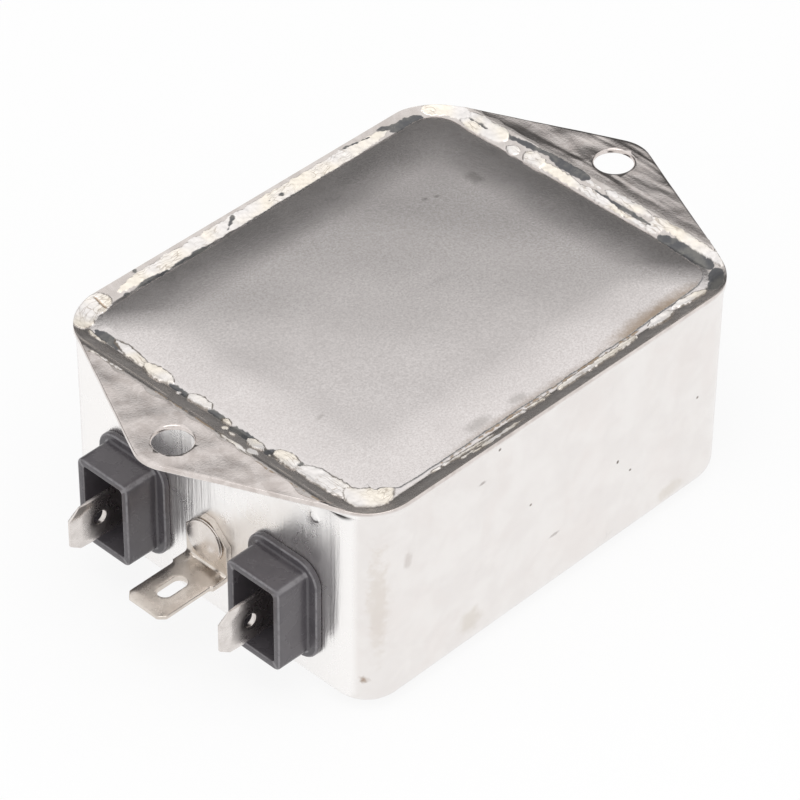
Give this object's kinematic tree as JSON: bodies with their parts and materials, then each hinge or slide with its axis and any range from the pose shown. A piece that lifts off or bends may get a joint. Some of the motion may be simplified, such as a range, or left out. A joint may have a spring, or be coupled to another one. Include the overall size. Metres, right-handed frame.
{
  "type": "emi line filter",
  "caption": "Power line filter in a drawn metal can with fixing ears, a soldered-in cover, shrouded blade terminals and an earth blade.",
  "frame": {"origin": "middle of the can's closed face, on which the filter lies", "axes": "+X from the line end to the load end, +Y across the can, +Z from the closed face to the open mouth with its ears and cover"},
  "size_m": [0.086, 0.0528, 0.0311],
  "materials": {
    "can": "bright plated drawn sheet",
    "cover": "satin fine-grained plated sheet",
    "solder": "bright soft solder",
    "shroud": "satin black moulding",
    "tab": "tinned brass strip",
    "rivet": "plated steel",
    "ferrite": "coated ferrite",
    "copper": "enamelled copper wire",
    "box_capacitor": "moulded box",
    "disc_capacitor": "dipped disc",
    "resistor": "lacquered body",
    "card": "pressed insulating card"
  },
  "bodies": {
    "root": {"can": "can", "cover": "cover", "solder_seam": "solder", "shroud_line_live": "shroud", "shroud_line_neutral": "shroud", "shroud_load_live": "shroud", "shroud_load_neutral": "shroud", "tab_line_live": "tab", "tab_line_neutral": "tab", "tab_load_live": "tab", "tab_load_neutral": "tab", "earth_tab": "tab", "earth_rivet": "rivet", "choke_core": "ferrite", "choke_divider": "card", "winding_live": "copper", "winding_neutral": "copper", "x_capacitor_line": "box_capacitor", "x_capacitor_load": "box_capacitor", "y_capacitor_live": "disc_capacitor", "y_capacitor_neutral": "disc_capacitor", "bleed_resistor": "resistor", "earth_lead": "copper", "card_bottom": "card", "card_top": "card"}
  },
  "joints": []
}
